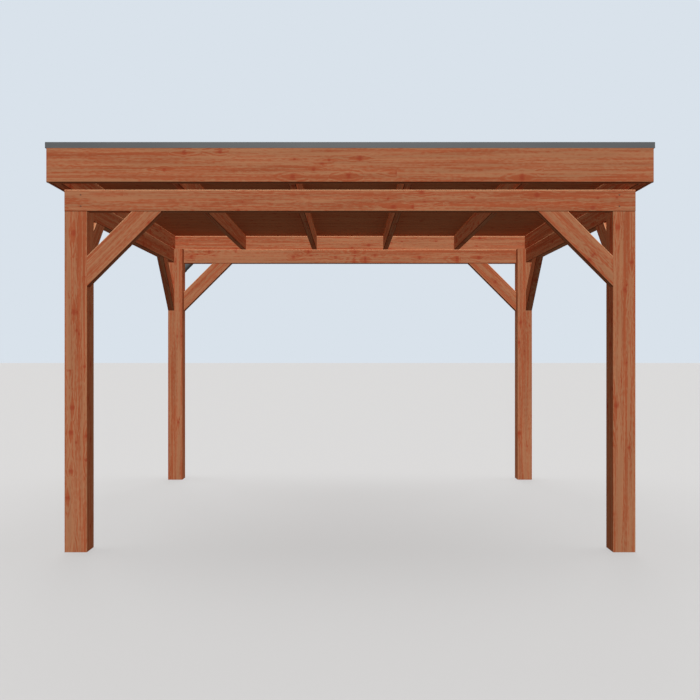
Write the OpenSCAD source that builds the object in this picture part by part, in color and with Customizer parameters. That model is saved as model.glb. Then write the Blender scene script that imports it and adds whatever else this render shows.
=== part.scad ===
// Free-standing flat-roofed patio cover: four posts, a ring of housed beams with
// braces, rafters with a boarded roof, a fascia with a metal edge trim, and a rain pipe.
// Millimetres. X runs along the front, Y to the back, Z up, with the ground at Z = 0.

/* [Posts and beams] */
// Side of the square posts
post = 140; // [110:5:180]
// Width over the outer faces of the posts
span_x = 3560; // [2800:10:4400]
// Depth over the outer faces of the posts
span_y = 3060; // [2200:10:3800]
// Clear height under the ring beams
clear_h = 2125; // [1950:5:2400]
// Thickness of the ring beams, which is also the depth of their housings
beam_t = 60; // [40:1:75]
// Height of the ring beams
beam_h = 135; // [110:5:180]
// Chamfer along the edges of all planed timber
edge_ease = 3; // [1:0.5:5]

/* [Braces] */
// Thickness of a brace
brace_t = 60; // [35:1:70]
// Width of a brace
brace_w = 135; // [80:5:150]
// Distance from the corner to the far end of a brace, along the post and along the beam
brace_leg = 470; // [380:5:650]
// The same for the side braces at the front posts, which reach a little further
front_side_leg = 505; // [380:5:650]

/* [Roof frame] */
// Thickness of a rafter
rafter_t = 45; // [35:1:60]
// Height of the rafters and rim joists
rafter_h = 140; // [110:5:180]
// Distance from the front of the posts to the front of the fascia
front_overhang = 225; // [120:5:500]
// Thickness of the rim joists in front of and behind the rafters
rim_t = 28; // [20:1:45]
// How far the roof boards reach past the posts at the sides and the back
board_overhang = 10; // [5:1:17]

/* [Roof boards] */
// Thickness of the roof boards
board_t = 18; // [16:1:28]
// Width that one tongue-and-groove board covers
board_w = 120; // [90:5:150]
// Width of the V between two boards, on the underside
groove_w = 8; // [4:1:12]
// Depth of that V
groove_d = 4; // [2:0.5:6]
// Thickness of the roof membrane
membrane_t = 3; // [2:0.5:5]

/* [Fascia and roof edge] */
// Thickness of the fascia boards
fascia_t = 20; // [18:1:40]
// Height of the fascia boards
fascia_h = 220; // [205:5:260]
// Visible height of the metal edge trim
trim_face = 35; // [25:1:60]
// How far the trim rises above the fascia
trim_rise = 18; // [10:1:22]
// How far the trim stands in front of the fascia
trim_proud = 6; // [4:0.5:12]
// Thickness of the trim's metal
trim_metal = 2; // [1:0.5:3]
// Width of the raised nose of the trim at its top
trim_nose = 9; // [7:0.5:12]

/* [Rain pipe] */
// Outer diameter of the rain pipe
pipe_d = 80; // [60:5:100]
// Wall of the pipe and its fittings
pipe_wall = 2; // [1.5:0.5:4]
// Gap between the fascia and the pipe
pipe_gap = 10; // [6:1:30]
// Radius of the centreline in the bends
bend_r = 60; // [55:5:120]
// Angle of the bends
bend_angle = 45; // [30:1:60]
// Depth of a socket
socket_l = 35; // [25:1:50]
// Clearance round a pipe in its socket
socket_clear = 0.3; // [0.1:0.1:1]
// Sideways step from the straight pipe to the outlet box
pipe_step = 178; // [150:1:260]
// Height of the beam's underside above the corner of the lower bend
bend_drop = 73; // [40:1:200]
// Height of the open end above the ground
shoe_clear = 100; // [40:5:300]
// Distance from each end of the straight pipe to the clip nearest to it
clip_inset = 380; // [100:10:600]
// Height of a clip's band
clip_h = 25; // [15:1:40]
// Thickness of a clip's band
clip_t = 3; // [2:0.5:5]
// Width of the stem between the band and the post
clip_stem_w = 25; // [15:1:40]

/* [Outlet box] */
// Width of the outlet box
box_w = 150; // [125:5:200]
// Height of the outlet box
box_h = 155; // [120:5:158]
// Wall of the outlet box
box_wall = 3; // [2:0.5:5]
// Width of the chute through the fascia
chute_w = 110; // [80:5:115]
// Height of the chute
chute_h = 30; // [20:1:45]

/* [Hidden] */
$fn = 96;

// How far a cutter runs past the faces that it cuts
over = 1;

// Heights
beam_top = clear_h + beam_h;
rafter_top = beam_top + rafter_h;
roof_top = rafter_top + board_t;
fascia_top = beam_top + fascia_h;

// Places along X, from the middle
side_x = span_x / 2;
edge_x = side_x + board_overhang;
fascia_x = edge_x + fascia_t;
rafter_bays = 5;
rafter_pitch = (span_x - rafter_t) / rafter_bays;

// Places along Y, from the front of the posts
front_y = -front_overhang;
board_front_y = front_y + fascia_t;
board_back_y = span_y + board_overhang;
back_y = board_back_y + fascia_t;
rafter_front_y = board_front_y + rim_t;
rafter_back_y = board_back_y - rim_t;

// Rain pipe
pipe_r = pipe_d / 2;
socket_r = pipe_r + socket_clear;
fitting_r = socket_r + pipe_wall;
bend_reach = bend_r * tan(bend_angle / 2);
pipe_x = post / 2 - side_x;
pipe_y = back_y + pipe_gap + pipe_r;
lower_bend_z = clear_h - bend_drop;
upper_bend_z = lower_bend_z + pipe_step / tan(bend_angle);
step_length = pipe_step / sin(bend_angle);
pipe_top_z = lower_bend_z - bend_reach;
outlet_x = pipe_x + pipe_step;
shoe_reach = (bend_reach + socket_l) * sin(bend_angle) + fitting_r * cos(bend_angle);
shoe_z = shoe_clear + (bend_reach + socket_l) * cos(bend_angle) + fitting_r * sin(bend_angle);
pipe_bottom_z = shoe_z + bend_reach;

// Outlet box
trim_drop = trim_face - trim_rise;
box_top_z = fascia_top - trim_drop - socket_clear;
box_bottom_z = box_top_z - box_h;
box_depth = pipe_d + 2 * pipe_gap;
chute_z = roof_top + membrane_t;

// The origin is on the ground, in the middle of the whole cover
origin_y = (front_y - trim_proud + pipe_y + shoe_reach) / 2;

wood = [0.64, 0.38, 0.25];
wood_inside = [0.45, 0.25, 0.16];
metal = [0.40, 0.40, 0.39];
plastic = [0.16, 0.17, 0.17];
rubber = [0.13, 0.13, 0.14];

// Helpers

module site() {
    translate([0, -origin_y, 0]) children();
}

module mirror_if(flip, axis) {
    if (flip) mirror(axis) children();
    else children();
}

// Corner frame: its origin is the outer corner of a post, and +x and +y run inwards
module at_corner(right, back) {
    translate([right ? side_x : -side_x, back ? span_y : 0, 0])
        mirror_if(right, [1, 0, 0])
            mirror_if(back, [0, 1, 0])
                children();
}

// Cross-section of planed timber with chamfered edges
module planed(a, b) {
    c = edge_ease;
    polygon([[c, 0], [a - c, 0], [a, c], [a, b - c], [a - c, b], [c, b], [0, b - c], [0, c]]);
}

module stock_x(length, t, h) {
    rotate([90, 0, 90]) linear_extrude(length) planed(t, h);
}

module stock_y(length, t, h) {
    translate([0, length, 0]) rotate([90, 0, 0]) linear_extrude(length) planed(t, h);
}

// Posts: the head is cut back on both outer faces, and the beams lie in these housings
module post_piece(right, back) {
    color(wood) site() at_corner(right, back)
        difference() {
            linear_extrude(beam_top) planed(post, post);
            translate([-over, -over, clear_h])
                cube([post + 2 * over, beam_t + over, beam_h + over]);
            translate([-over, -over, clear_h])
                cube([beam_t + over, post + 2 * over, beam_h + over]);
        }
}

// Front and back beams run over the full width
module long_beam(back) {
    color(wood) site() translate([-side_x, back ? span_y - beam_t : 0, clear_h])
        stock_x(span_x, beam_t, beam_h);
}

// Side beams run between them, beside the heads of the posts
module side_beam(right) {
    color(wood) site() translate([right ? side_x - beam_t : -side_x, beam_t, clear_h])
        stock_y(span_y - 2 * beam_t, beam_t, beam_h);
}

// Brace under a beam, from the corner of post and beam: +x along the beam, -z down the post
module brace_piece(leg) {
    intersection() {
        translate([0, -over, -leg - over])
            cube([leg + over, brace_t + 2 * over, leg + over]);
        translate([0, 0, -leg]) rotate([0, -45, 0])
            translate([-brace_w, 0, 0])
                stock_x(leg * sqrt(2) + 2 * brace_w, brace_t, brace_w);
    }
}

module long_brace(right, back) {
    color(wood) site() at_corner(right, back)
        translate([post, 0, clear_h]) brace_piece(brace_leg);
}

module side_brace(right, back) {
    color(wood) site() at_corner(right, back)
        mirror([1, -1, 0]) translate([post, 0, clear_h])
            brace_piece(back ? brace_leg : front_side_leg);
}

// Rafters lie on the front and back beams, between the rim joists
module rafter(index) {
    color(wood_inside) site()
        translate([-side_x + index * rafter_pitch, rafter_front_y, beam_top])
            stock_y(rafter_back_y - rafter_front_y, rafter_t, rafter_h);
}

module rim(back) {
    color(wood_inside) site()
        translate([-edge_x, back ? rafter_back_y : board_front_y, beam_top])
            stock_x(2 * edge_x, rim_t, rafter_h);
}

// Roof boards: one boarded deck with a V at each joint on its underside
module roof_boards() {
    depth = board_back_y - board_front_y;
    count = round(depth / board_w);
    pitch = depth / count;
    joints = [for (i = [1 : count - 1], step = [-1, 0, 1])
        [i * pitch + step * groove_w / 2, step == 0 ? groove_d : 0]];
    color(wood_inside) site() translate([-edge_x, board_front_y, rafter_top])
        rotate([90, 0, 90]) linear_extrude(2 * edge_x)
            polygon(concat([[0, board_t], [0, 0]], joints, [[depth, 0], [depth, board_t]]));
}

// Opening for the chute, through the membrane's upstand and the fascia
module chute_opening(clear) {
    translate([outlet_x - chute_w / 2 - clear, board_back_y - membrane_t - over, chute_z - clear])
        cube([chute_w + 2 * clear, membrane_t + fascia_t + 2 * over, chute_h + 2 * clear]);
}

// Membrane: a tray over the boards, turned up along the fascia
module roof_membrane() {
    color(rubber) site() difference() {
        translate([-edge_x, board_front_y, roof_top])
            cube([2 * edge_x, board_back_y - board_front_y, fascia_top - roof_top]);
        translate([membrane_t - edge_x, board_front_y + membrane_t, roof_top + membrane_t])
            cube([2 * (edge_x - membrane_t), board_back_y - board_front_y - 2 * membrane_t,
                fascia_h]);
        chute_opening(0);
    }
}

// Fascia: the front and back boards cover the ends of the side boards
module long_fascia(back) {
    color(wood) site() difference() {
        translate([-fascia_x, back ? board_back_y : front_y, beam_top])
            stock_x(2 * fascia_x, fascia_t, fascia_h);
        if (back) chute_opening(socket_clear);
    }
}

module side_fascia(right) {
    color(wood) site() translate([right ? edge_x : -fascia_x, board_front_y, beam_top])
        stock_y(board_back_y - board_front_y, fascia_t, fascia_h);
}

// Edge trim: bent sheet with a drip face, a raised nose and a flange on the fascia
module trim_profile() {
    inner = -fascia_t - membrane_t;
    slope = trim_rise / 2;
    polygon([
        [trim_proud, -trim_drop],
        [trim_proud, trim_rise],
        [trim_proud - trim_nose, trim_rise],
        [trim_proud - trim_nose - slope, trim_metal],
        [inner, trim_metal],
        [inner, 0],
        [trim_proud - trim_nose - slope - trim_metal / 2, 0],
        [trim_proud - trim_nose - trim_metal / 2, trim_rise - trim_metal],
        [trim_proud - trim_metal, trim_rise - trim_metal],
        [trim_proud - trim_metal, -trim_drop]
    ]);
}

// One run of trim along x, mitred at both ends; y is 0 on the face of the fascia, +y outwards
module trim_run(length) {
    half = length / 2 + trim_proud;
    depth = trim_proud + fascia_t + membrane_t;
    intersection() {
        translate([-half, 0, 0]) rotate([90, 0, 90]) linear_extrude(2 * half) trim_profile();
        translate([0, 0, -trim_face]) linear_extrude(2 * trim_face)
            polygon([[-half, trim_proud], [half, trim_proud],
                [half - depth, trim_proud - depth], [depth - half, trim_proud - depth]]);
    }
}

module long_trim(back) {
    color(metal) site() translate([0, back ? back_y : front_y, fascia_top])
        rotate([0, 0, back ? 0 : 180]) trim_run(2 * fascia_x);
}

module side_trim(right) {
    color(metal) site()
        translate([right ? fascia_x : -fascia_x, (front_y + back_y) / 2, fascia_top])
            rotate([0, 0, right ? -90 : 90]) trim_run(back_y - front_y);
}

// Outlet box on the back fascia: open on top, with a chute in and a spigot out
module outlet_box() {
    color(metal) site() difference() {
        union() {
            translate([outlet_x - box_w / 2, back_y, box_bottom_z])
                cube([box_w, box_depth, box_h]);
            translate([outlet_x - chute_w / 2, board_back_y - membrane_t, chute_z])
                cube([chute_w, back_y - board_back_y + membrane_t + box_wall, chute_h]);
            translate([outlet_x, pipe_y, upper_bend_z + bend_reach])
                cylinder(r = pipe_r, h = box_bottom_z + box_wall - upper_bend_z - bend_reach);
        }
        translate([outlet_x - box_w / 2 + box_wall, back_y + box_wall, box_bottom_z + box_wall])
            cube([box_w - 2 * box_wall, box_depth - 2 * box_wall, box_h]);
        translate([outlet_x - chute_w / 2 + box_wall, board_back_y - membrane_t - over,
                chute_z + box_wall])
            cube([chute_w - 2 * box_wall, fascia_t + membrane_t + box_wall + 2 * over,
                chute_h - 2 * box_wall]);
        translate([outlet_x, pipe_y, upper_bend_z + bend_reach - over])
            cylinder(r = pipe_r - pipe_wall, h = box_h);
    }
}

// Solid bend: starts at the origin going up, and turns towards +x
module bend_core(r) {
    translate([bend_r, 0, 0]) rotate([90, 0, 180])
        rotate_extrude(angle = bend_angle) translate([bend_r, 0]) circle(r);
}

// Moves to the upper end of that bend and turns along it
module at_bend_end() {
    translate([bend_r * (1 - cos(bend_angle)), 0, bend_r * sin(bend_angle)])
        rotate([0, bend_angle, 0]) children();
}

// Fitting from the corner of its centrelines: a socket below, the bend, and a socket above
module bend_fitting() {
    translate([0, 0, -bend_reach]) difference() {
        union() {
            bend_core(pipe_r);
            translate([0, 0, -socket_l]) cylinder(r = fitting_r, h = socket_l + pipe_wall);
            at_bend_end() translate([0, 0, -pipe_wall])
                cylinder(r = fitting_r, h = socket_l + pipe_wall);
        }
        bend_core(pipe_r - pipe_wall);
        translate([0, 0, -socket_l - over]) cylinder(r = socket_r, h = socket_l + over);
        at_bend_end() cylinder(r = socket_r, h = socket_l + over);
    }
}

module tube(length) {
    difference() {
        cylinder(r = pipe_r, h = length);
        translate([0, 0, -over]) cylinder(r = pipe_r - pipe_wall, h = length + 2 * over);
    }
}

module bend_upper() {
    color(plastic) site() translate([outlet_x, pipe_y, upper_bend_z])
        rotate([0, 180, 0]) bend_fitting();
}

module bend_lower() {
    color(plastic) site() translate([pipe_x, pipe_y, lower_bend_z]) bend_fitting();
}

module pipe_step_piece() {
    color(plastic) site() translate([pipe_x, pipe_y, lower_bend_z])
        rotate([0, bend_angle, 0]) translate([0, 0, bend_reach])
            tube(step_length - 2 * bend_reach);
}

module rain_pipe() {
    color(plastic) site() translate([pipe_x, pipe_y, pipe_bottom_z])
        tube(pipe_top_z - pipe_bottom_z);
}

module pipe_shoe() {
    color(plastic) site() translate([pipe_x, pipe_y, shoe_z])
        rotate([0, 180, -90]) bend_fitting();
}

// Clips: a band round the pipe on a stem that is fixed to the back of the post
module pipe_clips() {
    color(plastic) site() for (z = [pipe_bottom_z + clip_inset, pipe_top_z - clip_inset - clip_h])
        translate([pipe_x, pipe_y, z]) difference() {
            union() {
                cylinder(r = socket_r + clip_t, h = clip_h);
                translate([-clip_stem_w / 2, span_y - pipe_y, 0])
                    cube([clip_stem_w, pipe_y - span_y, clip_h]);
            }
            translate([0, 0, -over]) cylinder(r = socket_r, h = clip_h + 2 * over);
        }
}

post_piece(false, false);  // post_front_left
post_piece(true, false);  // post_front_right
post_piece(false, true);  // post_back_left
post_piece(true, true);  // post_back_right
long_beam(false);  // beam_front
long_beam(true);  // beam_back
side_beam(false);  // beam_left
side_beam(true);  // beam_right
long_brace(false, false);  // brace_front_left
long_brace(true, false);  // brace_front_right
long_brace(false, true);  // brace_back_left
long_brace(true, true);  // brace_back_right
side_brace(false, false);  // brace_left_front
side_brace(true, false);  // brace_right_front
side_brace(false, true);  // brace_left_back
side_brace(true, true);  // brace_right_back
rafter(0);  // rafter_left
rafter(1);  // rafter_1
rafter(2);  // rafter_2
rafter(3);  // rafter_3
rafter(4);  // rafter_4
rafter(rafter_bays);  // rafter_right
rim(false);  // rim_front
rim(true);  // rim_back
roof_boards();
roof_membrane();
long_fascia(false);  // fascia_front
long_fascia(true);  // fascia_back
side_fascia(false);  // fascia_left
side_fascia(true);  // fascia_right
long_trim(false);  // trim_front
long_trim(true);  // trim_back
side_trim(false);  // trim_left
side_trim(true);  // trim_right
outlet_box();
bend_upper();
pipe_step_piece();
bend_lower();
rain_pipe();
pipe_clips();
pipe_shoe();
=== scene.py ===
import math
import random

import bmesh
import bpy
from bpy.props import FloatProperty, FloatVectorProperty, IntProperty, PointerProperty
from mathutils import Euler, Matrix, Vector


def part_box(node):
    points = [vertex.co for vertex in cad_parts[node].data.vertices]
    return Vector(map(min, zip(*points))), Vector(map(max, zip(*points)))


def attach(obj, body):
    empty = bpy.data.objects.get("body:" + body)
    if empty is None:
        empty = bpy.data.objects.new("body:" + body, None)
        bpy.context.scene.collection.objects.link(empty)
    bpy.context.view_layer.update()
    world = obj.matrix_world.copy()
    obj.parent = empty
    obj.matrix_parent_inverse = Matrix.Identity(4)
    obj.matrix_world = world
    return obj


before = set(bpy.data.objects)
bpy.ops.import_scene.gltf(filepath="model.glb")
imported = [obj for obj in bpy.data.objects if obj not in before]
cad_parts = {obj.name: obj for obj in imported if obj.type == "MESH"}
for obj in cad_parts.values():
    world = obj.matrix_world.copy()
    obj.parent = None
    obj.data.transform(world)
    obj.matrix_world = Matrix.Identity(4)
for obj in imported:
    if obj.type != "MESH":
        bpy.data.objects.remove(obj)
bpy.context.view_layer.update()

bl_info = {
    "name": "Patio cover",
    "version": (1, 0, 0),
    "blender": (4, 5, 0),
    "location": "View3D > Sidebar > Patio cover",
    "description": "Finishes, fixings and stage for a braced timber patio cover",
    "category": "Add Mesh",
}

BODY = "root"

POSTS = ("post_front_left", "post_front_right", "post_back_left", "post_back_right")
BEAMS = ("beam_front", "beam_back", "beam_left", "beam_right")
BRACES = (
    "brace_front_left", "brace_front_right", "brace_back_left", "brace_back_right",
    "brace_left_front", "brace_right_front", "brace_left_back", "brace_right_back",
)
FASCIAS = ("fascia_front", "fascia_back", "fascia_left", "fascia_right")
ROOF_TIMBER = (
    "rafter_left", "rafter_1", "rafter_2", "rafter_3", "rafter_4", "rafter_right",
    "rim_front", "rim_back",
)
TRIMS = ("trim_front", "trim_back", "trim_left", "trim_right")
RAIN_PLASTIC = (
    "bend_upper", "pipe_step_piece", "bend_lower", "rain_pipe", "pipe_clips", "pipe_shoe",
)

X_AXIS = Vector((1, 0, 0))
Y_AXIS = Vector((0, 1, 0))
Z_AXIS = Vector((0, 0, 1))
AXES = (X_AXIS, Y_AXIS, Z_AXIS)


def tone(red, green, blue):
    """Linear colour of three display values from 0 to 255."""
    def linear(value):
        share = value / 255
        if share <= 0.04045:
            return share / 12.92
        return ((share + 0.055) / 1.055) ** 2.4
    return (linear(red), linear(green), linear(blue))


def colour_property(name, description, default):
    return FloatVectorProperty(
        name=name, description=description, default=default,
        subtype="COLOR", size=3, min=0, max=1,
    )


def length_property(name, description, default):
    return FloatProperty(
        name=name, description=description, default=default,
        unit="LENGTH", subtype="DISTANCE", min=0,
    )


def share_property(name, description, default):
    return FloatProperty(
        name=name, description=description, default=default,
        subtype="FACTOR", min=0, max=1,
    )


class PatioTimberLook(bpy.types.PropertyGroup):
    """Colours and scale of the stained timber"""

    tan: colour_property(
        "Tan", "Stain on the soft early wood", tone(165, 112, 80))
    red: colour_property(
        "Red", "Stain on the hard late wood", tone(158, 83, 53))
    pale: colour_property(
        "Pale", "Pale streaks along the grain", tone(178, 128, 94))
    knot: colour_property(
        "Knot", "Heart of a knot", tone(146, 58, 38))
    end: colour_property(
        "End grain", "Stain soaked into end grain", tone(120, 62, 38))
    # Painted highlight: pale colour painted on the upward chamfers of the timber, where light from
    # above falls.
    wear_and_highlight: colour_property(
        "Worn edge", "Upper edges that wear and sun have made pale", tone(205, 158, 120))
    # Painted shade: dark colour painted on the downward chamfers of the timber.
    painted_shade: colour_property(
        "Grime", "Lower edges in which dirt has settled", tone(84, 46, 28))
    board_tan: colour_property(
        "Board tan", "Early wood of the roof boards", tone(170, 108, 73))
    board_red: colour_property(
        "Board red", "Late wood of the roof boards", tone(164, 97, 63))
    band: length_property(
        "Band", "Usual width of a band of growth rings", 0.021)
    wander: length_property(
        "Wander", "How far the heart of the tree wanders along a piece", 0.025)
    knot_radius: length_property(
        "Knot radius", "Radius of a knot", 0.011)
    knot_share: share_property(
        "Knot share", "Share of the possible knots that are there", 0.4)
    ease: length_property(
        "Edge ease", "Width of the chamfer along the edges of the timber", 0.003)
    seed: IntProperty(
        name="Seed", description="Changes the grain of every piece", default=7, min=0)


class PatioRoofLook(bpy.types.PropertyGroup):
    """Colours of the roof edge and the membrane"""

    trim: colour_property(
        "Trim", "Dull mill finish of the edge trim", tone(85, 85, 84))
    trim_dark: colour_property(
        "Trim streaks", "Dark streaks drawn along the trim", tone(80, 81, 81))
    rubber: colour_property(
        "Membrane", "Rubber of the membrane", tone(52, 52, 54))
    dust: colour_property(
        "Dust", "Dust that dried on the membrane", tone(92, 90, 86))
    pleat: length_property(
        "Pleat", "Length of the folded corner of the membrane", 0.12)
    guard_bar: length_property(
        "Guard bar", "Width of a bar of the leaf guard", 0.0025)


class PatioRainLook(bpy.types.PropertyGroup):
    """Colours of the rain pipe and the outlet box"""

    plastic: colour_property(
        "Pipe", "Grey plastic of the pipe", tone(93, 102, 105))
    scuff: colour_property(
        "Scuff", "Fine scuffs on the plastic", tone(104, 111, 113))
    coat: colour_property(
        "Outlet box", "Coating of the outlet box", tone(58, 62, 63))
    rim_height: length_property(
        "Rim height", "Height of the folded rim of the outlet box", 0.009)
    rim_metal: length_property(
        "Rim metal", "Thickness of that rim", 0.002)
    bolt_radius: length_property(
        "Bolt radius", "Radius of the hexagon head on a pipe clip", 0.006)


class PatioFixings(bpy.types.PropertyGroup):
    """Sizes of the screws"""

    head_radius: length_property(
        "Head radius", "Radius of the head of a beam screw", 0.005)
    head_height: length_property(
        "Head height", "Height of that head", 0.004)
    head_proud: length_property(
        "Head proud", "How far the head stands out of the timber", 0.001)
    from_end: length_property(
        "From end", "Distance from the end of the beam to its screws", 0.101)
    from_edge: length_property(
        "From edge", "Distance from the beam's edges to its screws", 0.032)
    trim_head_radius: length_property(
        "Trim screw radius", "Radius of the head of a trim screw", 0.0038)
    trim_spacing: length_property(
        "Trim screw spacing", "Distance between two trim screws", 0.36)
    coating: colour_property(
        "Coating", "Bronze coating of the beam screws", tone(66, 44, 26))
    steel: colour_property(
        "Steel", "Bare steel of the trim screws and bolts", tone(150, 150, 148))


class PatioStage(bpy.types.PropertyGroup):
    """Camera, lamps, floor and background"""

    lens: FloatProperty(
        name="Lens", description="Focal length of the camera in millimetres",
        default=42.315, min=1, unit="CAMERA")
    eye: FloatVectorProperty(
        name="Eye", description="Place of the camera", default=(0, -6.618817, 1.2471),
        subtype="TRANSLATION", unit="LENGTH", size=3)
    rise: FloatProperty(
        name="Rise", description="Upward shift of the lens", default=0.00314)
    floor: colour_property(
        "Floor", "Floor as the camera sees it", tone(220, 220, 220))
    backdrop: colour_property(
        "Backdrop", "Background above the floor", tone(217, 226, 235))
    horizon: length_property(
        "Horizon", "Distance from the camera to the far edge of the floor", 95)
    ambient: FloatProperty(
        name="Ambient", description="Light from all round", default=0.1, min=0)
    key: FloatProperty(
        name="Key", description="Light from above the front", default=3.6, min=0)
    side: FloatProperty(
        name="Side", description="Light from above the right and the left", default=0.98, min=0)
    bounce: FloatProperty(
        name="Bounce", description="Light thrown up by the ground", default=0.1, min=0)
    fill: FloatProperty(
        name="Fill", description="Light that throws the soft shadow", default=1.2, min=0)
    shade: colour_property(
        "Shade", "Warm colour of the light in the shade", (1.0, 0.79, 0.68))


class Wire:
    """A shader value that takes part in plain arithmetic."""

    def __init__(self, finish, socket):
        self.finish = finish
        self.socket = socket

    def __add__(self, other):
        return self.finish.maths("ADD", self, other)

    def __radd__(self, other):
        return self.finish.maths("ADD", other, self)

    def __sub__(self, other):
        return self.finish.maths("SUBTRACT", self, other)

    def __rsub__(self, other):
        return self.finish.maths("SUBTRACT", other, self)

    def __mul__(self, other):
        return self.finish.maths("MULTIPLY", self, other)

    def __rmul__(self, other):
        return self.finish.maths("MULTIPLY", other, self)

    def __truediv__(self, other):
        return self.finish.maths("DIVIDE", self, other)

    def __rtruediv__(self, other):
        return self.finish.maths("DIVIDE", other, self)


class Finish:
    """Nodes of one material, world or lamp."""

    def __init__(self, tree):
        self.tree = tree

    def add(self, kind, settings=None, inputs=None, output=0):
        """Adds a node, sets it up, feeds it and gives one of its outputs."""
        node = self.tree.nodes.new(kind)
        for name, value in (settings or {}).items():
            setattr(node, name, value)
        for name, value in (inputs or {}).items():
            self.feed(node.inputs[name], value)
        return Wire(self, node.outputs[output]) if node.outputs else node

    def feed(self, socket, value):
        if isinstance(value, Wire):
            self.tree.links.new(value.socket, socket)
        elif value is not None:
            socket.default_value = value

    def maths(self, operation, *values):
        return self.add("ShaderNodeMath", {"operation": operation}, dict(enumerate(values)))

    def vector(self, operation, *values, output=0):
        return self.add(
            "ShaderNodeVectorMath", {"operation": operation}, dict(enumerate(values)), output)

    def join(self, x=0.0, y=0.0, z=0.0):
        return self.add("ShaderNodeCombineXYZ", inputs={"X": x, "Y": y, "Z": z})

    def split(self, vector):
        first = self.add("ShaderNodeSeparateXYZ", inputs={"Vector": vector})
        return [Wire(self, socket) for socket in first.socket.node.outputs]

    def noise(self, place, detail=2.0, roughness=0.5, dimensions="3D", output="Fac"):
        return self.add(
            "ShaderNodeTexNoise", {"noise_dimensions": dimensions},
            {"Vector": place, "Scale": 1.0, "Detail": detail, "Roughness": roughness}, output)

    def step(self, value, low, high, start=0.0, end=1.0):
        """Smooth step from start at low to end at high."""
        return self.add(
            "ShaderNodeMapRange", {"interpolation_type": "SMOOTHSTEP"},
            {"Value": value, "From Min": low, "From Max": high, "To Min": start, "To Max": end})

    def blend(self, share, first, second):
        """Colour between two colours."""
        def colour(value):
            return value if isinstance(value, Wire) else (*value, 1.0)
        return self.add(
            "ShaderNodeMix", {"data_type": "RGBA"}, {0: share, 6: colour(first), 7: colour(second)},
            2)

    def relief(self, height, strength, distance):
        return self.add(
            "ShaderNodeBump", inputs={"Strength": strength, "Distance": distance, "Height": height})

    def object_place(self, centre=(0, 0, 0), turn=(0, 0, 0)):
        """Object coordinates centred and turned on a piece."""
        return self.add(
            "ShaderNodeMapping", {"vector_type": "TEXTURE"},
            {"Vector": self.add("ShaderNodeTexCoord", output="Object"),
             "Location": centre, "Rotation": turn})


def new_finish(name, **constants):
    """A new material and the builder of its nodes; the constants go on the shader itself."""
    material = bpy.data.materials.new(name)
    material.use_nodes = True
    finish = Finish(material.node_tree)
    shader = surface_of(finish)
    for socket, value in constants.items():
        shader.inputs[socket.replace("_", " ").title().replace("Ior", "IOR")].default_value = value
    return material, finish


def surface_of(finish):
    return next(node for node in finish.tree.nodes if node.type == "BSDF_PRINCIPLED")


def paint(finish, **values):
    """Feeds the shader's varying sockets."""
    shader = surface_of(finish)
    for socket, value in values.items():
        finish.feed(shader.inputs[socket.replace("_", " ").title()], value)


def wear(node, material):
    """Gives a CAD node its finish."""
    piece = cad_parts[node]
    piece.data.materials.clear()
    piece.data.materials.append(material)


def grain_of(node):
    """Turn that lays X along a piece's grain, and the axis of its thickness."""
    words = node.split("_")
    if words[0] == "brace":
        slant = math.radians(-45 if words[2] in ("left", "front") else 45)
        across = words[1] in ("left", "right")
        return (0, slant, math.pi / 2 if across else 0), X_AXIS if across else Y_AXIS
    low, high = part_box(node)
    size = high - low
    longest = max(range(3), key=lambda axis: size[axis])
    thinnest = min(range(3), key=lambda axis: size[axis])
    turns = ((0, 0, 0), (0, 0, math.pi / 2), (0, -math.pi / 2, 0))
    return turns[longest], AXES[thinnest]


def stock_of(node, turn):
    """Middle and half size of a piece, measured along its own grain."""
    turned = Euler(turn).to_matrix()
    corners = [vertex.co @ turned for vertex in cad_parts[node].data.vertices]
    low = Vector(map(min, *corners))
    high = Vector(map(max, *corners))
    return turned @ ((low + high) / 2), (high - low) / 2


def heart_of(node, thickness_axis, rng):
    """Place of the tree's heart: inside a post, and outside a plank or beam."""
    low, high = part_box(node)
    centre = (low + high) / 2
    size = high - low
    if node in POSTS:
        return centre + Vector((rng.uniform(-0.02, 0.02), rng.uniform(-0.02, 0.02), 0))
    thickness = abs(size.dot(thickness_axis))
    if node in BRACES:
        thickness = min(size)
    side = rng.choice((-1, 1))
    lift = rng.uniform(-0.03, 0.03)
    width_axis = Z_AXIS
    away = thickness / 2 + rng.uniform(0.012, 0.05)
    return centre + thickness_axis * side * away + width_axis * lift


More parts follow.
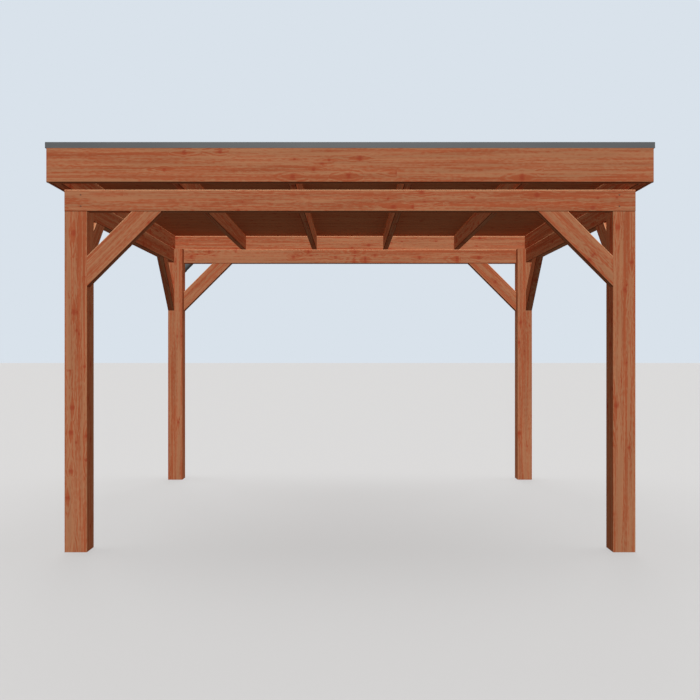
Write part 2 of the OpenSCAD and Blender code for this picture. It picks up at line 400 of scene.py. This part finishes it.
def stain(finish, place, edges, look, tan, red, seed):
    """Stained softwood: place has X along the grain and the heart of the tree at its origin."""
    drift = finish.noise(
        finish.vector("MULTIPLY_ADD", place, (1.1, 1.6, 1.6), (seed, seed * 0.37, 0)),
        detail=1.5, output="Color")
    drift = finish.vector("SUBTRACT", drift, (0.5, 0.5, 0.5))
    drift = finish.vector("MULTIPLY", drift, (0, look.wander, look.wander))
    bent = finish.vector("ADD", place, drift)
    along, across, deep = finish.split(bent)
    radius = finish.vector(
        "LENGTH", finish.vector("MULTIPLY", bent, (0, 1, 1)), output="Value")

    # Knots grow outwards from the heart, so they are placed by length and angle
    angle = finish.maths("ARCTAN2", deep, across)
    knots_per_metre = 5.0
    knots_per_radian = 1.1
    cell = finish.join(along * knots_per_metre + seed * 3.1, angle * knots_per_radian)
    cells = {"Vector": cell, "Scale": 1.0}
    nearest = finish.add("ShaderNodeTexVoronoi", {"voronoi_dimensions": "2D"}, cells, "Position")
    chance = finish.add("ShaderNodeTexVoronoi", {"voronoi_dimensions": "2D"}, cells, "Color")
    off_x, off_angle, _ = finish.split(finish.vector("SUBTRACT", cell, nearest))
    off_x = off_x / knots_per_metre
    off_y = off_angle / knots_per_radian * radius
    zone = finish.noise(finish.join(along * 1.6 + seed * 2.3, seed), detail=0.0, dimensions="2D")
    lottery, size_draw, _ = finish.split(chance)
    there = finish.step(
        lottery + (zone - 0.5) * 2.2, 1 - look.knot_share, 1 - look.knot_share + 0.02)
    ragged = finish.noise(finish.vector("MULTIPLY", place, (60, 90, 90)), detail=2.0) - 0.5
    knot_size = (0.5 + size_draw * 0.7) * look.knot_radius
    round_x = off_x * 0.75
    heart = finish.maths("SQRT", round_x * round_x + off_y * off_y) / knot_size
    heart = finish.step(heart + ragged * 1.3, 1.7, 0.2) * there
    flame_x = finish.maths("ABSOLUTE", off_x * 0.15)
    flame_y = finish.maths("ABSOLUTE", off_y)
    oval = finish.maths("SQRT", flame_x * flame_x + flame_y * flame_y)
    spread = (oval * 0.35 + (flame_x + flame_y) * 0.65) / knot_size
    flame = finish.step(spread + ragged * 0.3, 3.4, 0.2) * there
    flare = finish.maths("SINE", flame * 13.0 - 4.2) * finish.step(flame, 0.02, 0.12)
    rings = radius + flame * look.band * 0.5
    bands = finish.noise(
        finish.join(rings / look.band + seed * 5.3, along * 0.35 + seed),
        detail=3.5, roughness=0.68, dimensions="2D")
    fibre = finish.noise(
        finish.vector("MULTIPLY_ADD", place, (3.6, 170, 170), (seed, 0, 0)), detail=1.0)
    streak = finish.noise(
        finish.vector("MULTIPLY_ADD", place, (1.1, 85, 85), (seed * 2, 0, 0)), detail=1.5)
    ribbon = finish.noise(
        finish.vector("MULTIPLY_ADD", place, (0.35, 30, 30), (seed * 3, 0, 0)), detail=1.0)
    fleck = finish.noise(
        finish.vector("MULTIPLY_ADD", place, (32, 110, 110), (seed * 4, 0, 0)), detail=1.0)
    shade = finish.noise(
        finish.vector("MULTIPLY_ADD", place, (1.6, 38, 38), (seed * 5, 0, 0)), detail=2.0)

    mixed = bands * 0.28 + ribbon * 0.45 + streak * 0.55 + fibre * 0.55 + fleck * 0.34
    redness = finish.step(mixed + flame * 0.08 + flare * 0.085, 0.985, 1.205)
    colour = finish.blend(redness, tan, red)
    pale = finish.step(streak * 0.5 + fibre * 0.5 - ribbon * 0.3, 0.4, 0.52)
    colour = finish.blend(pale * 0.4, colour, look.pale)
    colour = finish.blend(heart * 0.7, colour, look.knot)
    lightness = finish.step(shade, 0.3, 0.7, 0.93, 1.07)
    colour = finish.vector("MULTIPLY", colour, finish.join(lightness, lightness, lightness))
    if edges is not None:
        butt, lit_chamfer, shaded_chamfer = edges
        colour = finish.blend(butt * 0.55, colour, look.end)
        # Painted highlight: the upward chamfers are made paler, as if lit from above.
        colour = finish.blend(lit_chamfer * (0.5 + streak * 0.6), colour, look.wear_and_highlight)
        # Painted shade: the downward chamfers are made darker.
        colour = finish.blend(shaded_chamfer * 0.85, colour, look.painted_shade)
    paint(
        finish, base_color=colour,
        roughness=0.68 + redness * 0.08 + (fibre - 0.5) * 0.2,
        normal=finish.relief(fibre * 0.5 + bands * 0.5, 0.3, 0.0006))


def timber_finish(node, look, seed):
    """Finish of one post, beam, brace, rafter or fascia board."""
    rng = random.Random(f"{look.seed} {node}")
    turn, thickness_axis = grain_of(node)
    heart = heart_of(node, thickness_axis, rng)
    material, finish = new_finish(f"stain_{node}", specular_ior_level=0.0)
    place = finish.object_place(heart, turn)
    edges = edges_of(finish, node, turn, look)
    stain(finish, place, edges, look, look.tan, look.red, seed)
    return material


def edges_of(finish, node, turn, look):
    """Masks of a piece's end grain and of its upward and downward chamfers, which carry the painted
    highlight and the painted shade.
    """
    middle, half = stock_of(node, turn)
    along, across, deep = finish.split(finish.object_place(middle, turn))
    butt = finish.step(finish.maths("ABSOLUTE", along), half.x - 0.001, half.x - 0.0004)
    depth = half.y + half.z - finish.maths("ABSOLUTE", across) - finish.maths("ABSOLUTE", deep)
    chamfer = finish.step(depth, look.ease * 1.4, look.ease * 1.1)
    if node in POSTS:
        return butt, chamfer * 0.0, chamfer * 0.0
    lit_chamfer = finish.step(deep, 0.0, 0.001) * chamfer
    return butt, lit_chamfer, chamfer - lit_chamfer


def board_finish(look):
    """Finish of the boarded roof: each board has its own grain."""
    low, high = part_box("roof_boards")
    depth = high.y - low.y
    board_width = 0.12
    count = round(depth / board_width)
    pitch = depth / count
    material, finish = new_finish("stain_roof_boards", specular_ior_level=0.0)
    x, y, z = finish.split(finish.object_place())
    board = finish.maths("FLOOR", (y - low.y) / pitch)
    middle = (board + 0.5) * pitch + low.y
    draw = finish.add(
        "ShaderNodeTexWhiteNoise", {"noise_dimensions": "1D"}, {"W": board + 0.5}, "Color")
    first, second, third = finish.split(draw)
    place = finish.join(
        x + first * 40,
        y - middle + (second - 0.5) * 0.06,
        z - high.z - 0.02 - third * 0.03)
    stain(finish, place, None, look, look.board_tan, look.board_red, look.seed + 0.5)
    return material


def deselect():
    bpy.ops.object.select_all(action="DESELECT")


def new_piece(name):
    """Names the piece that an operator has just added."""
    piece = bpy.context.active_object
    piece.name = name
    piece.data.name = name
    return piece


def edit(piece):
    deselect()
    piece.select_set(True)
    bpy.context.view_layer.objects.active = piece
    bpy.ops.object.mode_set(mode="EDIT")


def leave_edit():
    bpy.ops.object.mode_set(mode="OBJECT")


def pick(piece, kind, test):
    """Selects the faces, edges or vertices that pass a test, in edit mode."""
    bpy.ops.mesh.select_mode(type=kind)
    bpy.ops.mesh.select_all(action="DESELECT")
    mesh = bmesh.from_edit_mesh(piece.data)
    parts = {"FACE": mesh.faces, "EDGE": mesh.edges, "VERT": mesh.verts}[kind]
    for part in parts:
        part.select_set(bool(test(part)))
    mesh.select_flush_mode()
    bmesh.update_edit_mesh(piece.data)


def settle(piece):
    """Puts the piece's place into its mesh, so that its object sits at the origin."""
    deselect()
    piece.select_set(True)
    bpy.context.view_layer.objects.active = piece
    bpy.ops.object.transform_apply(location=True, rotation=True, scale=True)


def apply_modifier(piece, kind, **settings):
    modifier = piece.modifiers.new(kind.title(), kind)
    for name, value in settings.items():
        setattr(modifier, name, value)
    deselect()
    piece.select_set(True)
    bpy.context.view_layer.objects.active = piece
    bpy.ops.object.modifier_apply(modifier=modifier.name)


def round_edges(piece, width, segments=2):
    """Bevels the sharp edges and smooths the shading between them."""
    apply_modifier(
        piece, "BEVEL", width=width, segments=segments, limit_method="ANGLE",
        angle_limit=math.radians(35))
    bpy.ops.object.shade_smooth_by_angle(angle=math.radians(40))


def hand_over(piece, material):
    """Gives a finished piece its body, slot and finish."""
    piece.data.materials.clear()
    piece.data.materials.append(material)
    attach(piece, BODY)
    return piece


def facing(direction):
    """Turns a fixing that points up so that it points along a direction."""
    return Vector(direction).to_track_quat("Z", "Y").to_matrix().to_4x4()


def copies(pattern, name, places):
    """Joins copies of a pattern, one at each matrix, into a new piece."""
    parts = []
    for place in places:
        part = pattern.copy()
        part.data = pattern.data.copy()
        part.data.transform(place)
        if place.determinant() < 0:
            part.data.flip_normals()
        bpy.context.collection.objects.link(part)
        parts.append(part)
    deselect()
    for part in parts:
        part.select_set(True)
    bpy.context.view_layer.objects.active = parts[0]
    if len(parts) > 1:
        bpy.ops.object.join()
    return new_piece(name)


def discard(pattern):
    mesh = pattern.data
    bpy.data.objects.remove(pattern)
    bpy.data.meshes.remove(mesh)


def screw_head(radius, height, proud, lobes=6):
    """Screw head that points up, with a rounded rim and a lobed recess."""
    steps = lobes * 4
    deselect()
    bpy.ops.mesh.primitive_cylinder_add(
        vertices=steps, radius=radius, depth=height, location=(0, 0, proud - height / 2))
    head = new_piece("screw_head")
    settle(head)
    edit(head)
    pick(head, "EDGE", lambda edge: all(
        vertex.co.z > proud - height / 10 for vertex in edge.verts))
    bpy.ops.mesh.bevel(offset=radius / 6, segments=2, affect="EDGES")
    pick(head, "FACE", lambda face: len(face.verts) == steps and face.normal.z > 0.9)
    bpy.ops.mesh.inset(thickness=radius * 0.3)
    bpy.ops.mesh.inset(thickness=radius * 0.04)
    inner = radius * 0.52
    pick(head, "VERT", lambda vertex: (
        vertex.co.z > proud - height / 10 and vertex.co.xy.length < inner
        and round(math.atan2(vertex.co.y, vertex.co.x) / math.tau * steps) % 4 == 0))
    bpy.ops.transform.resize(value=(0.8, 0.8, 1), center_override=(0, 0, 0))
    pick(head, "FACE", lambda face: len(face.verts) == steps and face.normal.z > 0.9)
    bpy.ops.mesh.extrude_region_move(
        TRANSFORM_OT_translate={"value": (0, 0, -height * 0.45)})
    leave_edit()
    bpy.ops.object.shade_smooth_by_angle(angle=math.radians(40))
    return head


def metal_finish(name, colour, roughness, metallic=0.9):
    """Metal of the small fixings: fine mottling and dull patches."""
    material, finish = new_finish(name, metallic=metallic, specular_ior_level=0.5)
    place = finish.object_place()
    speckle = finish.noise(finish.vector("MULTIPLY", place, (420, 420, 420)), detail=3.0)
    dull = finish.noise(finish.vector("MULTIPLY", place, (60, 60, 60)), detail=2.0)
    darker = tuple(value * 0.6 for value in colour)
    shade = finish.blend(finish.step(speckle + (dull - 0.5) * 0.5, 0.4, 0.7), colour, darker)
    paint(
        finish, base_color=shade, roughness=roughness + (speckle - 0.5) * 0.3,
        normal=finish.relief(speckle, 0.2, 0.0002))
    return material


class PATIO_OT_timber(bpy.types.Operator):
    """Stains the posts, beams, braces, rafters, rims and fascia boards"""

    bl_idname = "patio.timber"
    bl_label = "Timber"

    def execute(self, context):
        look = context.scene.patio_timber
        for index, node in enumerate(POSTS + BEAMS + BRACES + FASCIAS + ROOF_TIMBER):
            wear(node, timber_finish(node, look, look.seed + index * 1.73))
        return {"FINISHED"}


class PATIO_OT_boards(bpy.types.Operator):
    """Stains the roof boards, each with its own grain"""

    bl_idname = "patio.boards"
    bl_label = "Roof boards"

    def execute(self, context):
        wear("roof_boards", board_finish(context.scene.patio_timber))
        return {"FINISHED"}


class PATIO_OT_screws(bpy.types.Operator):
    """Adds two screws at each end of every beam"""

    bl_idname = "patio.screws"
    bl_label = "Beam screws"

    def execute(self, context):
        sizes = context.scene.patio_fixings
        material = metal_finish("bronze_coating", sizes.coating, 0.6, metallic=0.15)
        head = screw_head(sizes.head_radius, sizes.head_height, sizes.head_proud)
        outward = {"front": -Y_AXIS, "back": Y_AXIS, "left": -X_AXIS, "right": X_AXIS}
        frame_low = Vector(map(min, *(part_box(beam)[0] for beam in BEAMS)))
        frame_high = Vector(map(max, *(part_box(beam)[1] for beam in BEAMS)))
        for side, direction in outward.items():
            along = X_AXIS if side in ("front", "back") else Y_AXIS
            face = frame_low if side in ("front", "left") else frame_high
            start = frame_low.dot(along) + sizes.from_end
            end = frame_high.dot(along) - sizes.from_end
            heights = (frame_low.z + sizes.from_edge, frame_high.z - sizes.from_edge)
            depth_axis = Y_AXIS if along == X_AXIS else X_AXIS
            places = [
                Matrix.Translation(
                    along * reach + depth_axis * face.dot(depth_axis) + Z_AXIS * height)
                @ facing(direction)
                for reach in (start, end) for height in heights
            ]
            hand_over(copies(head, f"screws_beam_{side}", places), material)
        discard(head)
        return {"FINISHED"}


class PATIO_OT_membrane(bpy.types.Operator):
    """Finishes the membrane and adds its folded corners and the leaf guard"""

    bl_idname = "patio.membrane"
    bl_label = "Membrane"

    def execute(self, context):
        look = context.scene.patio_roof
        material = self.rubber(look)
        wear("roof_membrane", material)
        self.add_pleats(look, material)
        self.add_leaf_guard(look, context.scene.patio_fixings)
        return {"FINISHED"}

    def rubber(self, look):
        material, finish = new_finish("rubber", specular_ior_level=0.4)
        place = finish.object_place()
        cloud = finish.noise(finish.vector("MULTIPLY", place, (1.7, 1.7, 1.7)), detail=4.0)
        grit = finish.noise(finish.vector("MULTIPLY", place, (190, 190, 190)), detail=2.0)
        crease = finish.noise(finish.vector("MULTIPLY", place, (3.1, 6.5, 3)), detail=3.0)
        dusty = finish.step(cloud + (grit - 0.5) * 0.3, 0.44, 0.74)
        paint(
            finish, base_color=finish.blend(dusty * 0.35, look.rubber, look.dust),
            roughness=0.62 + dusty * 0.2,
            normal=finish.relief(crease + grit * 0.05, 0.5, 0.012))
        return material

    def add_pleats(self, look, material):
        """Folded corner: a flap that tapers from the corner and lies against the upstand."""
        low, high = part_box("roof_membrane")
        sheet = 0.003
        lap = 0.002
        height = high.z - low.z - 2 * sheet
        deselect()
        bpy.ops.mesh.primitive_cube_add(
            size=1, location=(look.pleat / 2, lap / 2, height / 2),
            scale=(look.pleat, lap, height))
        flap = new_piece("flap")
        settle(flap)
        edit(flap)
        pick(flap, "VERT", lambda vertex: (
            vertex.co.x > look.pleat * 0.9 and vertex.co.z > height / 2))
        bpy.ops.transform.translate(value=(0, 0, -height * 0.92))
        leave_edit()
        round_edges(flap, lap / 4)
        places = []
        for right in (False, True):
            for back in (False, True):
                corner = Vector((
                    high.x - sheet if right else low.x + sheet,
                    high.y - sheet if back else low.y + sheet,
                    low.z + sheet))
                flip = Matrix.Diagonal((-1 if right else 1, -1 if back else 1, 1, 1))
                places.append(Matrix.Translation(corner) @ flip)
        hand_over(copies(flap, "membrane_folds", places), material)
        discard(flap)

    def add_leaf_guard(self, look, sizes):
        """Upright grille in front of the chute: a grid with its panes cut out."""
        tray_low, tray_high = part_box("roof_membrane")
        box_low, box_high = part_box("outlet_box")
        sheet = 0.003
        width = 0.13
        height = 0.045
        panes = 9
        depth = 0.002
        deselect()
        bpy.ops.mesh.primitive_grid_add(
            x_subdivisions=panes, y_subdivisions=1, size=1,
            location=(
                (box_low.x + box_high.x) / 2,
                tray_high.y - sheet - depth / 2,
                tray_low.z + sheet + height / 2),
            rotation=(math.pi / 2, 0, 0))
        guard = new_piece("leaf_guard")
        guard.scale = (width, height, 1)
        settle(guard)
        edit(guard)
        bpy.ops.mesh.select_mode(type="FACE")
        bpy.ops.mesh.select_all(action="SELECT")
        bpy.ops.mesh.inset(thickness=look.guard_bar / 2, use_individual=True)
        bpy.ops.mesh.delete(type="FACE")
        leave_edit()
        apply_modifier(guard, "SOLIDIFY", thickness=depth, offset=0)
        round_edges(guard, depth / 6, segments=1)
        hand_over(guard, metal_finish("guard_metal", sizes.steel, 0.45))


class PATIO_OT_trim(bpy.types.Operator):
    """Finishes the edge trim and adds the screws in its flange"""

    bl_idname = "patio.trim"
    bl_label = "Edge trim"

    def execute(self, context):
        look = context.scene.patio_roof
        sizes = context.scene.patio_fixings
        for node in TRIMS:
            wear(node, self.mill_finish(node, look))
        self.add_screws(sizes)
        return {"FINISHED"}

    def mill_finish(self, node, look):
        """Dull aluminium with drawn streaks along the run."""
        low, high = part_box(node)
        along_x = high.x - low.x > high.y - low.y
        stretch = (2.5, 150, 150) if along_x else (150, 2.5, 150)
        patch = (3, 14, 14) if along_x else (14, 3, 14)
        material, finish = new_finish(
            f"mill_finish_{node}", metallic=0.55, specular_ior_level=0.4)
        place = finish.object_place()
        streak = finish.noise(finish.vector("MULTIPLY", place, stretch), detail=3.0)
        cloud = finish.noise(finish.vector("MULTIPLY", place, patch), detail=2.0)
        share = finish.step(streak * 0.6 + cloud * 0.4, 0.38, 0.62)
        paint(
            finish, base_color=finish.blend(share, look.trim, look.trim_dark),
            roughness=0.46 + (streak - 0.5) * 0.25,
            normal=finish.relief(streak, 0.12, 0.0003))
        return material

    def add_screws(self, sizes):
        """Pan heads along the flat flange between the nose and the membrane."""
        material = metal_finish("trim_screw_steel", sizes.steel, 0.38)
        radius = sizes.trim_head_radius
        head = screw_head(radius, radius * 0.9, radius * 0.6)
        in_from_edge = 0.0235
        flange_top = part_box("fascia_front")[1].z + 0.002
        for node in TRIMS:
            low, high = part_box(node)
            size = high - low
            along = 0 if size.x > size.y else 1
            across = 1 - along
            outer = high[across] if node in ("trim_back", "trim_right") else low[across]
            inward = -1 if node in ("trim_back", "trim_right") else 1
            count = round(size[along] / sizes.trim_spacing)
            places = []
            for index in range(count):
                spot = Vector((0, 0, flange_top))
                spot[along] = low[along] + (index + 0.5) * size[along] / count
                spot[across] = outer + inward * in_from_edge
                places.append(Matrix.Translation(spot))
            hand_over(copies(head, f"screws_{node}", places), material)
        discard(head)


class PATIO_OT_rain(bpy.types.Operator):
    """Finishes the rain pipe and the outlet box and adds the clip bolts and the rim"""

    bl_idname = "patio.rain"
    bl_label = "Rain pipe and outlet"

    def execute(self, context):
        look = context.scene.patio_rain
        plastic = self.plastic(look)
        for node in RAIN_PLASTIC:
            wear(node, plastic)
        coat = self.coat(look)
        wear("outlet_box", coat)
        self.add_rim(look, coat)
        self.add_clip_bolts(look, plastic, context.scene.patio_fixings)
        return {"FINISHED"}

    def plastic(self, look):
        material, finish = new_finish("grey_plastic", specular_ior_level=0.03)
        place = finish.object_place()
        cloud = finish.noise(finish.vector("MULTIPLY", place, (14, 14, 5)), detail=3.0)
        scratch = finish.noise(finish.vector("MULTIPLY", place, (320, 320, 12)), detail=2.0)
        wear_and_highlight = finish.step(scratch + (cloud - 0.5) * 0.4, 0.58, 0.8)
        paint(
            finish, base_color=finish.blend(wear_and_highlight * 0.5, look.plastic, look.scuff),
            roughness=0.5 + wear_and_highlight * 0.2 + (cloud - 0.5) * 0.15,
            normal=finish.relief(cloud * 0.7 + scratch * 0.1, 0.15, 0.001))
        return material

    def coat(self, look):
        material, finish = new_finish(
            "grey_coat", specular_ior_level=0.5, coat_roughness=0.35)
        place = finish.object_place()
        peel = finish.noise(finish.vector("MULTIPLY", place, (240, 240, 240)), detail=2.0)
        cloud = finish.noise(finish.vector("MULTIPLY", place, (9, 9, 9)), detail=3.0)
        faded = finish.step(cloud + (peel - 0.5) * 0.2, 0.45, 0.75)
        lighter = tuple(value * 1.5 for value in look.coat)
        paint(
            finish, base_color=finish.blend(faded, look.coat, lighter),
            roughness=0.4 + faded * 0.12, coat_weight=0.2 - faded * 0.1,
            normal=finish.relief(peel, 0.2, 0.0003))
        return material

    def add_rim(self, look, coat):
        """Folded rim on the three free sides of the outlet box."""
        low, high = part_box("outlet_box")
        fascia_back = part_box("fascia_back")[1].y
        gap = 0.008
        metal = look.rim_metal
        front = fascia_back + gap
        deselect()
        bpy.ops.mesh.primitive_cube_add(
            size=1,
            location=((low.x + high.x) / 2, (front + high.y) / 2, high.z - look.rim_height / 2),
            scale=(high.x - low.x, high.y - front, look.rim_height))
        rim = new_piece("outlet_rim")
        settle(rim)
        edit(rim)
        pick(rim, "FACE", lambda face: abs(face.normal.z) > 0.9 or face.normal.y < -0.9)
        bpy.ops.mesh.delete(type="FACE")
        leave_edit()
        apply_modifier(rim, "SOLIDIFY", thickness=metal, offset=1, use_even_offset=True)
        round_edges(rim, metal / 3)
        hand_over(rim, coat)

    def add_clip_bolts(self, look, plastic, sizes):
        """Two lugs with a hexagon bolt on the outer side of each clip."""
        low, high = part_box("pipe_clips")
        pipe_low, pipe_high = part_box("rain_pipe")
        centre_x = (pipe_low.x + pipe_high.x) / 2
        band_height = 0.025
        lug = Vector((0.004, 0.016, band_height * 0.8))
        spread = 0.006
        deselect()
        bpy.ops.mesh.primitive_cube_add(size=1, scale=lug)
        plate = new_piece("lug")
        settle(plate)
        round_edges(plate, 0.0012, segments=3)
        deselect()
        radius = look.bolt_radius
        bpy.ops.mesh.primitive_cylinder_add(
            vertices=6, radius=radius, depth=radius * 0.8, location=(0, 0, radius * 0.4))
        bolt = new_piece("bolt")
        settle(bolt)
        edit(bolt)
        pick(bolt, "FACE", lambda face: face.normal.z < -0.9)
        bpy.ops.mesh.inset(thickness=radius * 0.5)
        bpy.ops.mesh.extrude_region_move(
            TRANSFORM_OT_translate={"value": (0, 0, -2 * spread - lug.x)})
        leave_edit()
        round_edges(bolt, radius * 0.1)
        heights = (low.z + band_height / 2, high.z - band_height / 2)
        middle_y = high.y + lug.y / 2 - 0.002
        lugs = [
            Matrix.Translation((centre_x + side * spread, middle_y, height))
            for height in heights for side in (-1, 1)
        ]
        bolts = [
            Matrix.Translation((centre_x + spread + lug.x / 2, middle_y + 0.001, height))
            @ facing(X_AXIS)
            for height in heights
        ]
        hand_over(copies(plate, "clip_lugs", lugs), plastic)
        steel = metal_finish("clip_bolt_steel", sizes.steel, 0.35)
        hand_over(copies(bolt, "clip_bolts", bolts), steel)
        discard(plate)
        discard(bolt)


class PATIO_OT_stage(bpy.types.Operator):
    """Sets up the floor, the background, the lamps and the camera"""

    bl_idname = "patio.stage"
    bl_label = "Stage"

    def execute(self, context):
        sizes = context.scene.patio_stage
        self.add_floor(sizes)
        self.set_world(context.scene, sizes)
        self.add_lamps(sizes)
        self.add_camera(context.scene, sizes)
        context.scene.view_settings.view_transform = "Standard"
        return {"FINISHED"}

    def seen_directly(self, finish):
        """One for rays of the camera, gloss and glass, and nought for light on surfaces."""
        rays = [
            finish.add("ShaderNodeLightPath", output=name)
            for name in ("Is Camera Ray", "Is Glossy Ray", "Is Transmission Ray")
        ]
        return finish.maths("MINIMUM", rays[0] + rays[1] + rays[2], 1.0)

    def add_floor(self, sizes):
        """Large floor: the camera sees its colour, and it throws little light up."""
        half_width = 60
        back = sizes.eye[1] + sizes.horizon
        front = -60
        deselect()
        bpy.ops.mesh.primitive_plane_add(
            size=1, location=(0, (front + back) / 2, -0.0005))
        floor = new_piece("floor")
        floor.scale = (2 * half_width, back - front, 1)
        settle(floor)
        material = bpy.data.materials.new("floor")
        material.use_nodes = True
        finish = Finish(material.node_tree)
        finish.tree.nodes.clear()
        seen = self.seen_directly(finish)
        plain = finish.add("ShaderNodeEmission", inputs={"Color": (*sizes.floor, 1.0)})
        lit = finish.add("ShaderNodeBsdfDiffuse", inputs={"Color": (0.305, 0.311, 0.315, 1.0)})
        dim = finish.add("ShaderNodeBsdfDiffuse", inputs={"Color": (0.08, 0.08, 0.08, 1.0)})
        shown = finish.add("ShaderNodeMixShader", inputs={0: 0.5, 1: plain, 2: lit})
        whole = finish.add("ShaderNodeMixShader", inputs={0: seen, 1: dim, 2: shown})
        finish.add("ShaderNodeOutputMaterial", inputs={"Surface": whole})
        floor.data.materials.append(material)

    def set_world(self, scene, sizes):
        world = bpy.data.worlds.new("studio")
        scene.world = world
        world.use_nodes = True
        finish = Finish(world.node_tree)
        finish.tree.nodes.clear()
        backdrop = finish.add(
            "ShaderNodeBackground", inputs={"Color": (*sizes.backdrop, 1.0), "Strength": 1.0})
        soft = finish.add(
            "ShaderNodeBackground",
            inputs={"Color": (*sizes.shade, 1.0), "Strength": sizes.ambient})
        mixed = finish.add(
            "ShaderNodeMixShader", inputs={0: self.seen_directly(finish), 1: soft, 2: backdrop})
        finish.add("ShaderNodeOutputWorld", inputs={"Surface": mixed})

    def add_lamps(self, sizes):
        """Soft suns: those that throw no shadow light the front and the inner sides evenly."""
        white = (1.0, 1.0, 1.0)
        warm = sizes.shade
        lamps = {
            "key": ((0, -1, 0.95), sizes.key, white, False),
            "side_right": ((1, 0, 0.8), sizes.side, warm, False),
            "side_left": ((-1, 0, 0.8), sizes.side * 0.72, warm, False),
            "bounce": ((0, 0, -1), sizes.bounce, warm, False),
            "sun_left": ((-0.4, 0.2, 0.9), sizes.fill, white, True),
            "sun_right": ((0.4, 0.2, 0.9), sizes.fill, white, True),
            "sun_back": ((0, 0.8, 0.6), sizes.fill * 1.8, white, True),
        }
        for name, (direction, strength, colour, shadow) in lamps.items():
            bpy.ops.object.light_add(type="SUN", location=Vector(direction) * 12)
            sun = bpy.context.active_object
            sun.name = name
            sun.rotation_euler = Vector(direction).to_track_quat("Z", "Y").to_euler()
            sun.data.energy = strength
            sun.data.color = colour
            sun.data.angle = math.radians(40 if shadow else 5)
            sun.data.use_shadow = shadow

    def add_camera(self, scene, sizes):
        bpy.ops.object.camera_add(location=sizes.eye, rotation=(math.pi / 2, 0, 0))
        camera = bpy.context.active_object
        camera.name = "camera"
        camera.data.lens = sizes.lens
        camera.data.sensor_width = 36
        camera.data.shift_y = sizes.rise
        camera.data.clip_end = 400
        scene.camera = camera


class PATIO_PT_panel(bpy.types.Panel):
    """Lists the steps and their values"""

    bl_label = "Patio cover"
    bl_idname = "PATIO_PT_panel"
    bl_space_type = "VIEW_3D"
    bl_region_type = "UI"
    bl_category = "Patio cover"

    def draw(self, context):
        for operator in STEPS:
            self.layout.operator(operator.bl_idname)
        for name in GROUPS:
            group = getattr(context.scene, name)
            box = self.layout.box()
            for value in group.bl_rna.properties:
                if value.identifier not in ("rna_type", "name"):
                    box.prop(group, value.identifier)


STEPS = (
    PATIO_OT_timber, PATIO_OT_boards, PATIO_OT_screws, PATIO_OT_membrane, PATIO_OT_trim,
    PATIO_OT_rain, PATIO_OT_stage,
)
GROUPS = {
    "patio_timber": PatioTimberLook,
    "patio_roof": PatioRoofLook,
    "patio_rain": PatioRainLook,
    "patio_fixings": PatioFixings,
    "patio_stage": PatioStage,
}


def register():
    for group in (*GROUPS.values(), *STEPS, PATIO_PT_panel):
        bpy.utils.register_class(group)
    for name, group in GROUPS.items():
        setattr(bpy.types.Scene, name, PointerProperty(type=group))


def unregister():
    for name in GROUPS:
        delattr(bpy.types.Scene, name)
    for group in reversed((*GROUPS.values(), *STEPS, PATIO_PT_panel)):
        bpy.utils.unregister_class(group)


def main():
    register()
    bpy.ops.patio.timber()
    bpy.ops.patio.boards()
    bpy.ops.patio.screws()
    bpy.ops.patio.membrane()
    bpy.ops.patio.trim()
    bpy.ops.patio.rain()
    bpy.ops.patio.stage()


if __name__ == "__main__":
    main()
